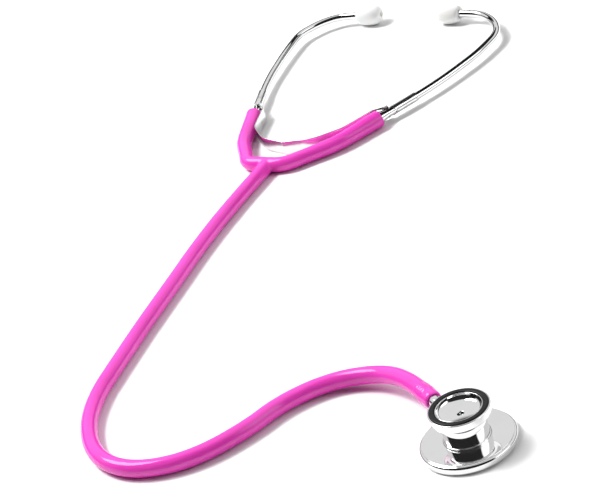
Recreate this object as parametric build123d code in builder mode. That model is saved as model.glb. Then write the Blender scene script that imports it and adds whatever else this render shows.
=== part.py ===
from build123d import *
import os
from math import atan2, cos, degrees, radians, sin, tan

# A dual-head stethoscope, lying on a table as it is laid down after use. Millimetres.
# The origin is the middle of the diaphragm's contact face, which lies on the table.
# +Z runs up the chestpiece's axis, from the diaphragm to the bell, and +Y runs along the
# headset towards its ear tips. "Left" is the side of the headset towards -X.

# ---- tubing ----
TUBE_R = 4.6
TUBE_BORE_R = 2.3
TUBE_Z = TUBE_R  # the tube lies on the table
ARM_MOUTH_R = 5.4  # the arms swell towards the sockets that grip the ear tubes

# ---- headset: offsets from its centreline, and distances along +Y from the yoke's foot ----
HEAD_X = -263.7
HEAD_Y = 222.0
EAR_REST_Z = 7.0  # the ear tips lie on the table, so this is also their radius
EAR_Y = 423.0
HEAD_TILT = degrees(atan2(EAR_REST_Z - TUBE_Z, EAR_Y - HEAD_Y))
CROTCH_Y = 12.6
SOCKET_DEPTH = 22.3
ARM_RADIUS = 50.0
# The tubes are bent by hand and the soft arms lie as they fell, so the two sides differ by a
# few millimetres: -1 is the left side and 1 the right. Each ear tube's route runs from its foot
# through the knee and the tight bend to its tip.
ARM_ROOT = {-1: (24.5, 23.5), 1: (22.5, 24.5)}
ARM_STRAIGHT = {-1: 37.0, 1: 33.0}
EAR_TUBE_ROUTE = {
    -1: [(39.2, 49.4), (63.8, 113.5), (72, 150), (75.8, 175.5), (68.5, 190), (58, 199.3), (32, 202.3)],
    1: [(40.3, 48.2), (68.8, 110.5), (79, 149), (80.2, 175), (70.5, 190.5), (55, 201.2), (27.6, 202.6)],
}

# ---- ear tubes and ear tips ----
EAR_TUBE_R = 2.5
EAR_TUBE_WALL = 0.6
FERRULE_R = 3.3
FERRULE_TAPER = 8.0
SLEEVE_R = 3.1
SLEEVE_START = 9.0  # from the arm's mouth
SLEEVE_LENGTH = 20.0
EARTIP_LENGTH = 18.0
EARTIP_GRIP = 10.5
EARTIP_HOLE_R = 1.8
RUNNING = 0.05  # radial clearance of parts that turn or slide in each other

# ---- leaf spring ----
STRIP_THICKNESS = 0.7
STRIP_Z = (0.8, 9.3)
STRIP_MIDDLE = (0, 31.8)
STRIP_SHOULDER = [(19, 36.5), (33.3, 50)]
STRIP_ENDS = [(-2.2, 7.1), (7.6, 3.8)]  # along the ear tube from the arm's mouth, and inward

# ---- chestpiece ----
DISC_R = 23.0
DISC_TOP = 5.0
DISC_PLATE = 1.4
SKIRT_FOOT = 0.8
SKIRT_R = 20.9
BARREL_R = 11.3
BARREL_TOP = 16.0
NECK_R = 10.5
SPIGOT_R = 7.0
SPIGOT_FOOT = 15.0
BELL_BOTTOM = 17.5
BELL_TOP = 22.3
BELL_R = 15.5
RING_OUTER_R = 14.8
RING_INNER_R = 11.8
RING_SEAT = 20.6
RING_TOP = 22.9
BOWL_R = 11.3
BOWL_FLOOR = 18.5
SOUND_R = 1.65
MEMBRANE = 0.3
CLAMP_LIP = 0.5
RIM_R = 24.2

# ---- chestpiece stem and its detent ----
STEM_ANGLE = 147.5  # direction in which the stem leaves the chestpiece
STEM_Z = 11.25
STEM_R = 3.35
SHAFT_R = 2.9
STEM_TAIL = -6.5
STEM_SHOULDER = 11.7
STEM_BORE_R = 1.6
PORT_R = 1.4
CUFF_START = 30.0
CUFF_END = 44.0
BARB_R = 3.8
BARBS = 4
BALL_R = 1.0
BALL_PLACE = 7.2
GROOVE_DEPTH = 0.35
CLIP_PLACE = -4.5
DETENT_HOLE_R = 1.1

os.makedirs("parts", exist_ok=True)


def save(builder, label):
    builder.part.label = label
    export_step(builder.part, f"parts/{label}.step")


# ---- planes and directions ----
tilt = radians(HEAD_TILT)
HEADSET = Plane(origin=(HEAD_X, HEAD_Y, TUBE_Z), x_dir=(1, 0, 0), z_dir=(0, -sin(tilt), cos(tilt)))
STEM_DIR = Vector(cos(radians(STEM_ANGLE)), sin(radians(STEM_ANGLE)), 0)
STEM_AXIS = Axis((0, 0, STEM_Z), STEM_DIR)
STEM_SIDE = Plane(origin=(0, 0, STEM_Z), x_dir=STEM_DIR, z_dir=STEM_DIR.cross(Vector(0, 0, 1)))


def stem_point(distance, z=STEM_Z):
    """A point over the stem's line, at a distance from the chestpiece's axis."""
    return Vector(STEM_DIR.X * distance, STEM_DIR.Y * distance, z)


def stem_plane(distance):
    """The plane square to the stem at that distance, facing away from the chestpiece."""
    return Plane(origin=stem_point(distance), z_dir=STEM_DIR)


def headset_point(place, side):
    """A point of the headset's plane; side is -1 on the left and 1 on the right."""
    return HEADSET.from_local_coords(Vector(side * place[0], place[1], 0))


def headset_points(side):
    """The arm's root, its elbow and its mouth, the way up the ear tube, and the tube's route."""
    route = [headset_point(place, side) for place in EAR_TUBE_ROUTE[side]]
    up_tube = (route[1] - route[0]).normalized()
    mouth = route[0] + up_tube * SOCKET_DEPTH
    elbow = mouth - up_tube * ARM_STRAIGHT[side]
    return headset_point(ARM_ROOT[side], side), elbow, mouth, up_tube, route


def crotch_point(side):
    """Where the line of the arm's root comes down to the crotch."""
    root, elbow = headset_points(side)[:2]
    slope = (elbow - root) * (1 / (elbow.Y - root.Y))
    return root - slope * (root.Y - headset_point((0, CROTCH_Y), side).Y)


def strip_half(side):
    """The strip's route on one side: over the arm, past its mouth and on to the ear tube."""
    mouth, up_tube = headset_points(side)[2:4]
    inward = up_tube.cross(Vector(0, 0, 1)) * -side
    points = [headset_point(place, side) for place in STRIP_SHOULDER]
    points += [mouth + up_tube * along + inward * aside for along, aside in STRIP_ENDS]
    return [Vector(point.X, point.Y, 0) for point in points]


def widest_radii(points):
    """The radius at each inner corner that its two runs allow."""
    radii = []
    for before, corner, after in zip(points, points[1:], points[2:]):
        turn = (corner - before).get_angle(after - corner)
        shorter = min((corner - before).length, (after - corner).length)
        radii.append(0.45 * shorter / tan(radians(turn) / 2))
    return radii


# ---- main tube: from the yoke, round in one loop over the table, up to the chestpiece ----
TUBE_ROUTE = [
    Vector(HEAD_X, HEAD_Y, TUBE_Z),
    Vector(-262, 187, TUBE_Z),
    Vector(-257, 144, TUBE_Z),
    Vector(-249.5, 103, TUBE_Z),
    Vector(-243, 64, TUBE_Z),
    Vector(-235.5, 27, TUBE_Z),
    Vector(-230, 0.5, TUBE_Z),
    Vector(-219, -23.5, TUBE_Z),
    Vector(-200, -44.5, TUBE_Z),
    Vector(-178.5, -54, TUBE_Z),
    Vector(-156.5, -51.5, TUBE_Z),
    Vector(-136, -37.5, TUBE_Z),
    Vector(-121.5, -12, TUBE_Z),
    Vector(-115.5, 9, TUBE_Z),
    Vector(-99, 30, 4.8),
    Vector(-75.5, 38.5, 6.6),
    stem_point(61),
    stem_point(CUFF_END),
]
tube_radii = widest_radii(TUBE_ROUTE)
with BuildPart() as main_tube:
    with BuildLine() as route:
        FilletPolyline(*TUBE_ROUTE, radius=tube_radii)
    with BuildSketch(Plane(origin=route.line @ 0, z_dir=route.line % 0)) as tube_section:
        Circle(TUBE_R)
        Circle(TUBE_BORE_R, mode=Mode.SUBTRACT)
    sweep()
save(main_tube, "main_tube")
print("main tube radii:", [round(radius, 1) for radius in tube_radii])
tube_length = route.wires()[0].length
print("main tube length:", round(tube_length, 1), "mm; volume over section times length:",
      round(main_tube.part.volume / (tube_section.sketch.area * tube_length), 4))

# ---- yoke: the tube's foot and the two roots of the arms, round a common bore ----
roots = [headset_points(-1)[0], crotch_point(-1), crotch_point(1), headset_points(1)[0]]
foot_plane = Plane(origin=TUBE_ROUTE[0], z_dir=TUBE_ROUTE[0] - TUBE_ROUTE[1])
with BuildPart() as yoke:
    with BuildLine() as cross_path:
        FilletPolyline(*roots, radius=widest_radii(roots))
    with BuildSketch(Plane(origin=cross_path.line @ 0, z_dir=cross_path.line % 0)):
        Circle(TUBE_R)
    sweep()
    with BuildSketch(foot_plane):
        Circle(TUBE_R)
    extrude(amount=CROTCH_Y)
    with BuildSketch(Plane(origin=cross_path.line @ 0, z_dir=cross_path.line % 0)):
        Circle(TUBE_BORE_R)
    sweep(path=cross_path.line, mode=Mode.SUBTRACT)
    with BuildSketch(foot_plane):
        Circle(TUBE_BORE_R)
    extrude(amount=CROTCH_Y, mode=Mode.SUBTRACT)
save(yoke, "yoke")

# ---- the two sides of the headset ----
for side, word in ((-1, "left"), (1, "right")):
    root, elbow, mouth, up_tube, route = headset_points(side)
    foot, tip = route[0], route[-1]
    along_tip = (tip - route[-2]).normalized()
    up_tube_plane = Plane(origin=mouth, x_dir=up_tube, z_dir=up_tube.cross(Vector(0, 0, 1)))

    # Arm: a soft tube that widens to its socket, which the ear tube's foot fills.
    with BuildPart() as arm:
        with BuildLine() as arm_path:
            FilletPolyline(root, elbow, mouth, radius=ARM_RADIUS)
        with BuildSketch(Plane(origin=arm_path.line @ 0, z_dir=arm_path.line % 0)):
            Circle(TUBE_R)
        with BuildSketch(Plane(origin=arm_path.line @ 1, z_dir=arm_path.line % 1)):
            Circle(ARM_MOUTH_R)
        sweep(path=arm_path.line, multisection=True)
        with BuildSketch(Plane(origin=arm_path.line @ 0, z_dir=arm_path.line % 0)):
            Circle(TUBE_BORE_R)
        sweep(path=arm_path.line, mode=Mode.SUBTRACT)
        with BuildSketch(Plane(origin=mouth, z_dir=-up_tube)):
            Circle(FERRULE_R + RUNNING)
        extrude(amount=SOCKET_DEPTH + 1, mode=Mode.SUBTRACT)
    save(arm, f"arm_{word}")

    # Ear tube: thin steel tube with a thicker foot, a knee and a tight bend under the ear tip.
    with BuildPart() as ear_tube:
        with BuildLine() as tube_path:
            FilletPolyline(*route, radius=widest_radii(route))
        with BuildSketch(Plane(origin=foot, z_dir=up_tube)):
            Circle(EAR_TUBE_R)
        sweep(path=tube_path.line)
        with BuildSketch(up_tube_plane):
            with BuildLine():
                Polyline((-SOCKET_DEPTH, 0), (-SOCKET_DEPTH, FERRULE_R), (0.5, FERRULE_R),
                         (FERRULE_TAPER, EAR_TUBE_R), (FERRULE_TAPER, 0), close=True)
            make_face()
        revolve(axis=Axis(mouth, up_tube))
        with BuildSketch(Plane(origin=foot, z_dir=up_tube)):
            Circle(EAR_TUBE_R - EAR_TUBE_WALL)
        sweep(path=tube_path.line, mode=Mode.SUBTRACT)
    save(ear_tube, f"ear_tube_{word}")

    # Spring sleeve: the rolled end of the leaf spring, tight round the ear tube.
    with BuildPart() as spring_sleeve:
        with BuildSketch(Plane(origin=mouth + up_tube * SLEEVE_START, z_dir=up_tube)):
            Circle(SLEEVE_R)
            Circle(EAR_TUBE_R, mode=Mode.SUBTRACT)
        extrude(amount=SLEEVE_LENGTH)
    save(spring_sleeve, f"spring_sleeve_{word}")

    # Ear tip: a soft olive with a blind socket for the tube and a sound hole at its nose.
    base = tip - along_tip * EARTIP_GRIP
    tip_plane = Plane(origin=base, x_dir=along_tip, z_dir=along_tip.cross(Vector(0, 0, 1)))
    with BuildPart() as eartip:
        with BuildSketch(tip_plane):
            with BuildLine():
                back = Line((0, EAR_TUBE_R + RUNNING), (0, 3.6))
                flank = Spline(back @ 1, (4.5, 6.0), (10.5, EAR_REST_Z), (15.6, 5.6), (18, 2.6))
                nose = Line(flank @ 1, (EARTIP_LENGTH, EARTIP_HOLE_R))
                Polyline(nose @ 1, (EARTIP_GRIP + 0.5, EARTIP_HOLE_R),
                         (EARTIP_GRIP + 0.5, EAR_TUBE_R + RUNNING), back @ 0)
            make_face()
        revolve(axis=Axis(base, along_tip))
    save(eartip, f"eartip_{word}")

# ---- leaf spring: a strip on edge that joins the two ear tubes and presses them together ----
strip_middle = headset_point(STRIP_MIDDLE, 1)
strip_route = strip_half(-1)[::-1] + [Vector(strip_middle.X, strip_middle.Y, 0)] + strip_half(1)
with BuildPart() as leaf_spring:
    with BuildSketch(Plane.XY.offset(STRIP_Z[0])):
        with BuildLine():
            FilletPolyline(*strip_route, radius=widest_radii(strip_route))
        trace(line_width=STRIP_THICKNESS)
    extrude(amount=STRIP_Z[1] - STRIP_Z[0])
save(leaf_spring, "leaf_spring")

# ---- chestpiece: turned parts about the Z axis ----
# Diaphragm housing: a shallow pan, face down, with the barrel that the stem enters.
with BuildPart() as diaphragm_housing:
    with BuildSketch(Plane.XZ):
        with BuildLine():
            pan = Polyline((0, DISC_TOP - DISC_PLATE), (SKIRT_R, DISC_TOP - DISC_PLATE),
                           (SKIRT_R, SKIRT_FOOT), (DISC_R, SKIRT_FOOT), (DISC_R, DISC_TOP - 0.3),
                           (DISC_R - 0.3, DISC_TOP), (BARREL_R + 0.7, DISC_TOP),
                           (BARREL_R + 0.7, DISC_TOP + 0.5))
            bead = RadiusArc(pan @ 1, (BARREL_R, DISC_TOP + 1), 0.75)
            wall = Line(bead @ 1, (BARREL_R, 12.5))
            neck = TangentArc(wall @ 1, (NECK_R, BARREL_TOP), tangent=(0, 1))
            Polyline(neck @ 1, (SPIGOT_R, BARREL_TOP), (SPIGOT_R, SPIGOT_FOOT), (0, SPIGOT_FOOT),
                     pan @ 0)
        make_face()
    revolve(axis=Axis.Z)
    with BuildSketch(stem_plane(STEM_TAIL - 0.5)):
        Circle(SHAFT_R + RUNNING)
    extrude(amount=BARREL_R - STEM_TAIL + 2, mode=Mode.SUBTRACT)
    with BuildSketch(stem_plane(CLIP_PLACE - 0.4)):
        Circle(STEM_R)
    extrude(amount=0.8, mode=Mode.SUBTRACT)
    with BuildSketch(Plane.XY.offset(DISC_TOP - DISC_PLATE)):
        Circle(SOUND_R)
    extrude(amount=SPIGOT_FOOT, mode=Mode.SUBTRACT)
    with BuildSketch(Plane.XY.offset(DISC_TOP - DISC_PLATE)):
        with Locations((stem_point(BALL_PLACE).X, stem_point(BALL_PLACE).Y)):
            Circle(DETENT_HOLE_R)
    extrude(amount=STEM_Z - DISC_TOP + DISC_PLATE, mode=Mode.SUBTRACT)
save(diaphragm_housing, "diaphragm_housing")

# Bell cup: pressed into the barrel, with a groove for the rim ring and a shallow bowl.
with BuildPart() as bell_cup:
    with BuildSketch(Plane.XZ):
        with BuildLine():
            spigot = Polyline((0, SPIGOT_FOOT), (SPIGOT_R, SPIGOT_FOOT), (SPIGOT_R, BARREL_TOP),
                              (NECK_R, BARREL_TOP))
            flare = ThreePointArc(spigot @ 1, (11.3, 17.1), (13.0, BELL_BOTTOM))
            under = Line(flare @ 1, (14.2, BELL_BOTTOM))
            corner = TangentArc(under @ 1, (14.9, 18.3), tangent=(1, 0))
            flank = Line(corner @ 1, (BELL_R, BELL_TOP - 0.4))
            edge = ThreePointArc(flank @ 1, (BELL_R - 0.1, BELL_TOP - 0.1),
                                 (BELL_R - 0.4, BELL_TOP))
            groove = Polyline(edge @ 1, (RING_OUTER_R, BELL_TOP), (RING_OUTER_R, RING_SEAT),
                              (RING_INNER_R, RING_SEAT), (RING_INNER_R, BELL_TOP))
            lip = ThreePointArc(groove @ 1, (RING_INNER_R - 0.25, BELL_TOP + 0.2),
                                (BOWL_R, BELL_TOP))
            bowl = ThreePointArc(lip @ 1, (10.7, 20.5), (9.2, 19.5))
            Polyline(bowl @ 1, (0, BOWL_FLOOR), spigot @ 0)
        make_face()
    revolve(axis=Axis.Z)
    with BuildSketch(Plane.XY.offset(SPIGOT_FOOT)):
        Circle(SOUND_R)
    extrude(amount=BELL_TOP, mode=Mode.SUBTRACT)
save(bell_cup, "bell_cup")

# Bell rim ring: black rubber, domed, sprung into the groove of the bell cup.
with BuildPart() as bell_rim_ring:
    with BuildSketch(Plane.XZ):
        with BuildLine():
            seat = Polyline((RING_INNER_R, BELL_TOP), (RING_INNER_R, RING_SEAT),
                            (RING_OUTER_R, RING_SEAT), (RING_OUTER_R, BELL_TOP))
            outer = ThreePointArc(seat @ 1, (14.5, 22.7), (13.7, RING_TOP))
            crown = Line(outer @ 1, (12.9, RING_TOP))
            ThreePointArc(crown @ 1, (12.1, 22.7), seat @ 0)
        make_face()
    revolve(axis=Axis.Z)
save(bell_rim_ring, "bell_rim_ring")

# Diaphragm: a thin stiff disc, formed so that its middle stands level with the clamping ring.
with BuildPart() as diaphragm:
    with BuildSketch(Plane.XZ):
        with BuildLine():
            Polyline((0, 0), (20.3, 0), (20.9, CLAMP_LIP), (22.4, CLAMP_LIP),
                     (22.4, CLAMP_LIP + MEMBRANE), (20.7, CLAMP_LIP + MEMBRANE),
                     (20.1, MEMBRANE), (0, MEMBRANE), close=True)
        make_face()
    revolve(axis=Axis.Z)
save(diaphragm, "diaphragm")

# Diaphragm ring: the rounded rim that screws over the housing and clamps the diaphragm.
with BuildPart() as diaphragm_ring:
    with BuildSketch(Plane.XZ):
        with BuildLine():
            sole = Line((21.1, 0), (23.3, 0))
            lower = ThreePointArc(sole @ 1, (24.0, 0.6), (RIM_R, 1.6))
            side_wall = Line(lower @ 1, (RIM_R, 2.9))
            upper = ThreePointArc(side_wall @ 1, (23.9, 3.9), (DISC_R, 4.4))
            Polyline(upper @ 1, (DISC_R, CLAMP_LIP), (21.1, CLAMP_LIP), sole @ 0)
        make_face()
    revolve(axis=Axis.Z)
save(diaphragm_ring, "diaphragm_ring")

# ---- stem: the shaft that the chestpiece turns on, its collar and the barbs in the tube ----
barb_pitch = (CUFF_END - CUFF_START - 2) / BARBS
barb_outline = []
for barb in range(BARBS):
    start = CUFF_START + 1 + barb * barb_pitch
    barb_outline += [(start, STEM_R), (start, BARB_R), (start + barb_pitch * 0.8, STEM_R - 0.4)]
groove_floor = SHAFT_R - GROOVE_DEPTH
stem_outline = [(STEM_TAIL, 0), (STEM_TAIL, SHAFT_R)]
for place, half_width in ((CLIP_PLACE, 0.4), (BALL_PLACE, 1.05)):
    stem_outline += [(place - half_width, SHAFT_R), (place - half_width, groove_floor),
                     (place + half_width, groove_floor), (place + half_width, SHAFT_R)]
stem_outline += [(STEM_SHOULDER, SHAFT_R), (STEM_SHOULDER, STEM_R - 0.3),
                 (STEM_SHOULDER + 0.3, STEM_R)]
stem_outline += barb_outline
stem_outline += [(CUFF_END - 1, STEM_R - 0.4), (CUFF_END - 1, 0)]
dimple_height = groove_floor + BALL_R - 0.25
with BuildPart() as chest_stem:
    with BuildSketch(STEM_SIDE):
        with BuildLine():
            Polyline(*stem_outline, close=True)
        make_face()
    revolve(axis=STEM_AXIS)
    with BuildSketch(stem_plane(-2 * STEM_BORE_R)):
        Circle(STEM_BORE_R)
    extrude(amount=CUFF_END + 2 * STEM_BORE_R, mode=Mode.SUBTRACT)
    with BuildSketch(Plane.XY.offset(STEM_Z - STEM_R)):
        Circle(PORT_R)
    extrude(amount=STEM_R, mode=Mode.SUBTRACT)
    with Locations(stem_point(BALL_PLACE, STEM_Z - dimple_height),
                   stem_point(BALL_PLACE, STEM_Z + dimple_height)):
        Sphere(BALL_R, mode=Mode.SUBTRACT)
save(chest_stem, "chest_stem")

# Tube cuff: the end of the tubing, stretched over the stem's barbs.
with BuildPart() as tube_cuff:
    with BuildSketch(STEM_SIDE):
        with BuildLine():
            mouth_face = Line((CUFF_START, STEM_R + RUNNING), (CUFF_START, 4.2))
            swell = Spline(mouth_face @ 1, (CUFF_START + 1.2, 4.7), (CUFF_START + 7, 4.85),
                           (CUFF_END, TUBE_R))
            Polyline(swell @ 1, (CUFF_END, TUBE_BORE_R), (CUFF_END - 0.6, TUBE_BORE_R),
                     (CUFF_END - 0.6, STEM_R + RUNNING), mouth_face @ 0)
        make_face()
    revolve(axis=STEM_AXIS)
save(tube_cuff, "tube_cuff")

# ---- detent: a sprung ball in the stem's groove, and the clip that keeps the stem in ----
ball_z = STEM_Z - groove_floor - RUNNING - BALL_R
with BuildPart() as detent_ball:
    with Locations(stem_point(BALL_PLACE, ball_z)):
        Sphere(BALL_R)
save(detent_ball, "detent_ball")

screw_foot = DISC_TOP - DISC_PLATE
screw_height = 1.1
with BuildPart() as detent_screw:
    with BuildSketch(Plane(origin=stem_point(BALL_PLACE, screw_foot))):
        Circle(DETENT_HOLE_R)
    extrude(amount=screw_height)
    with BuildSketch(Plane(origin=stem_point(BALL_PLACE, screw_foot))):
        Rectangle(2 * DETENT_HOLE_R, 0.4)
    extrude(amount=0.4, mode=Mode.SUBTRACT)
save(detent_screw, "detent_screw")

wire_r = 0.14
spring_r = 0.72
spring_foot = screw_foot + screw_height + wire_r + 0.02
spring_height = ball_z - BALL_R - spring_foot - wire_r
with BuildPart() as detent_spring:
    with BuildLine():
        coil = Helix(pitch=spring_height / 3, height=spring_height, radius=spring_r,
                     center=stem_point(BALL_PLACE, spring_foot))
    with BuildSketch(Plane(origin=coil @ 0, z_dir=coil % 0)):
        Circle(wire_r)
    sweep(is_frenet=True)
save(detent_spring, "detent_spring")

with BuildPart() as stem_clip:
    with BuildSketch(stem_plane(CLIP_PLACE - 0.3)):
        Circle(STEM_R - RUNNING)
        Circle(groove_floor + 0.1, mode=Mode.SUBTRACT)
        with Locations((0, STEM_R)):
            Rectangle(1.6, 2 * STEM_R - 2, mode=Mode.SUBTRACT)
    extrude(amount=0.6)
save(stem_clip, "stem_clip")
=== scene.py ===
from math import cos, pi, radians, sin, tan

import bmesh
import bpy
import numpy as np
from bpy.props import FloatProperty, FloatVectorProperty, PointerProperty
from bpy.types import Operator, Panel, PropertyGroup
from mathutils import Matrix, Vector


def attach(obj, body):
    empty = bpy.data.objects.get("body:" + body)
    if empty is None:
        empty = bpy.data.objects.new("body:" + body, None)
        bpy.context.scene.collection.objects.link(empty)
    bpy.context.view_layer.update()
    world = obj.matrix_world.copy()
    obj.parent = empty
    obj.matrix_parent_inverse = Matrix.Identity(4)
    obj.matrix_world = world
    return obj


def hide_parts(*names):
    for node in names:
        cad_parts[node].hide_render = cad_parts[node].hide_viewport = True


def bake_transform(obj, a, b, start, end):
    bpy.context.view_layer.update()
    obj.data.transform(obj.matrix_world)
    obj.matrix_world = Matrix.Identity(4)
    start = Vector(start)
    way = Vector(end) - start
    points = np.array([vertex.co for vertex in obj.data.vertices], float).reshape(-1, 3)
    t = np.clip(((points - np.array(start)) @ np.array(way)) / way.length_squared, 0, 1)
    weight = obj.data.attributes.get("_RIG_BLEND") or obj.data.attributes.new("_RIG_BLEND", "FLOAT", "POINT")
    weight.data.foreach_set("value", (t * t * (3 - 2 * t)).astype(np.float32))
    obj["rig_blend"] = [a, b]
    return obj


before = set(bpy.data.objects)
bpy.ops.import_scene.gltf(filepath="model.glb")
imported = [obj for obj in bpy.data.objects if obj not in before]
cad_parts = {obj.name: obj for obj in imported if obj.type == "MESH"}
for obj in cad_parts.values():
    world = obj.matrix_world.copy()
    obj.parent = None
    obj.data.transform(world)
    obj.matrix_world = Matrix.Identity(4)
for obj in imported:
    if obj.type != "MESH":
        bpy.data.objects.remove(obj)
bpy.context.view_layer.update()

bl_info = {
    "name": "Stethoscope",
    "version": (1, 0, 0),
    "blender": (4, 5, 0),
    "location": "3D View > Sidebar > Stethoscope",
    "description": "Dresses the packed stethoscope: tubing, headset, chestpiece, finishes and studio",
    "category": "Object",
}

MM = 0.001
HEAD = Vector((-263.7, 222.0, 4.6)) * MM  # the yoke's foot, on the headset's centreline
EAR_REST = Vector((0, 423.0, 7.0)) * MM  # how far along, and how high, the ear tips lie
LEAN = Vector((0, EAR_REST.y - HEAD.y, EAR_REST.z - HEAD.z)).normalized()
HEAD_NORMAL = Vector((1, 0, 0)).cross(LEAN)
STEM_HEIGHT = 11.25 * MM
STEM_WAY = Vector((cos(radians(147.5)), sin(radians(147.5)), 0))
# Plain numbers below are millimetres, as they are in every outline; TUBE_ROUTE is in metres.
CUFF_START, CUFF_END = 30.0, 44.0  # along the stem, from the chestpiece's axis
CROTCH = 12.6  # from the yoke's foot to where the arms' centrelines part
# The two sides differ a little: -1 is the left and 1 the right. An ear tube's route runs from
# its foot through the knee and the tight bend to its tip.
ARM_ROOT = {-1: (24.5, 23.5), 1: (22.5, 24.5)}
ARM_STRAIGHT = {-1: 37.0, 1: 33.0}
EAR_TUBE_ROUTE = {
    -1: [(39.2, 49.4), (63.8, 113.5), (72, 150), (75.8, 175.5), (68.5, 190), (58, 199.3), (32, 202.3)],
    1: [(40.3, 48.2), (68.8, 110.5), (79, 149), (80.2, 175), (70.5, 190.5), (55, 201.2), (27.6, 202.6)],
}
ELBOW_RADIUS = 50 * MM
SOCKET_DEPTH = 22.3  # how far an ear tube's foot stands in its arm
# The spring's strip: half its route, from its middle to its shoulder, then the radii of all its
# bends, and how high its middle line stands over the table.
STRIP_ROUTE = [(0, 31.8), (19, 36.5), (33.3, 50)]
STRIP_BENDS = [22 * MM, 14 * MM, 4 * MM, 3 * MM]
STRIP_LEVEL = 5.05 * MM
SLEEVE_START, SLEEVE_LENGTH = 9.0, 20.0  # the rolled end, from the arm's mouth
SIDES = ((-1, "left"), (1, "right"))
# The arms and the spring bend between these places, which straddle the spreading hinge.
FLEX_START, FLEX_END = (22.0, 23.0), (42.0, 61.0)
# The tube's route, from the yoke round over the table and up to the chestpiece's stem.
TUBE_ROUTE = [
    HEAD,
    (-0.2620, 0.1870, 0.0046),
    (-0.2570, 0.1440, 0.0046),
    (-0.2495, 0.1030, 0.0046),
    (-0.2430, 0.0640, 0.0046),
    (-0.2355, 0.0270, 0.0046),
    (-0.2300, 0.0005, 0.0046),
    (-0.2190, -0.0235, 0.0046),
    (-0.2000, -0.0445, 0.0046),
    (-0.1785, -0.0540, 0.0046),
    (-0.1565, -0.0515, 0.0046),
    (-0.1360, -0.0375, 0.0046),
    (-0.1215, -0.0120, 0.0046),
    (-0.1155, 0.0090, 0.0046),
    (-0.0990, 0.0300, 0.0048),
    (-0.0755, 0.0385, 0.0066),
    STEM_WAY * 0.061 + Vector((0, 0, STEM_HEIGHT)),
    STEM_WAY * 0.044 + Vector((0, 0, STEM_HEIGHT)),
]
CLEARANCE = 0.05  # round a part that stands in another
WELD = 1e-7  # points nearer than this many metres are merged
SHARP_ANGLE, STOCK_SHARP_ANGLE = 32.0, 40.0  # in degrees; flatter edges are shaded smooth


# ---- what a user may change ----
def length(name, description, default):
    return FloatProperty(name=name, description=description, default=default * MM,
                         min=0.0, subtype="DISTANCE", unit="LENGTH", precision=5)


def colour(name, description, default):
    return FloatVectorProperty(name=name, description=description, default=default,
                               size=4, min=0.0, max=1.0, subtype="COLOR")


class StethoscopeSizes(PropertyGroup):
    """The sizes of the stethoscope's pieces."""
    tube_radius: length("Tube Radius", "Outer radius of the soft tubing", 4.6)
    bore_radius: length("Bore Radius", "Radius of the sound bore in the tubing", 2.3)
    arm_mouth_radius: length("Arm Mouth Radius", "Radius of an arm where its socket opens", 5.4)
    ear_tube_radius: length("Ear Tube Radius", "Outer radius of the steel ear tubes", 2.5)
    ear_tube_wall: length("Ear Tube Wall", "Wall of the steel ear tubes", 0.6)
    ferrule_radius: length("Ferrule Radius", "Radius of an ear tube's thick foot", 3.3)
    strip_thickness: length("Strip Thickness", "Thickness of the leaf spring's strip", 0.7)
    strip_height: length("Strip Height", "Height of the leaf spring's strip", 8.5)
    sleeve_radius: length("Sleeve Radius", "Outer radius of the spring's rolled ends", 3.1)
    disc_radius: length("Disc Radius", "Radius of the diaphragm housing", 23.0)
    rim_radius: length("Rim Radius", "Radius of the ring that clamps the diaphragm", 24.2)
    bell_radius: length("Bell Radius", "Radius of the bell cup's brim", 15.5)


class StethoscopeColours(PropertyGroup):
    """The colours of the stethoscope's finishes."""
    tubing: colour("Tubing", "Soft tubing, yoke and arms", (0.90, 0.066, 0.56, 1))
    tubing_deep: colour("Tubing, Deep", "The tubing's darker clouds", (0.84, 0.056, 0.51, 1))
    chrome: colour("Chrome", "Chrome plate", (0.83, 0.83, 0.835, 1))
    spring: colour("Spring Steel", "The spring's strip and its rolled ends", (0.86, 0.86, 0.86, 1))
    eartip: colour("Ear Tips", "Soft milky ear tips", (0.91, 0.91, 0.905, 1))
    rubber: colour("Rubber", "The bell's rim ring", (0.005, 0.005, 0.006, 1))
    film: colour("Diaphragm", "The diaphragm's stiff film", (0.72, 0.73, 0.72, 1))
    floor: colour("Floor", "The studio floor", (0.93, 0.93, 0.93, 1))


# ---- shader maths as Python ----
class Wire:
    """One output of a node, so that its maths is written as Python."""

    def __init__(self, tree, socket):
        self.tree, self.socket = tree, socket

    def __getitem__(self, name):
        return Wire(self.tree, self.socket.node.outputs[name])

    def maths(self, operation, *values):
        return self.tree.node("ShaderNodeMath", {"operation": operation}, dict(enumerate(values)))

    def __add__(self, other):
        return self.maths("ADD", self, other)

    def __mul__(self, other):
        return self.maths("MULTIPLY", self, other)

    __radd__, __rmul__ = __add__, __mul__


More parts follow.
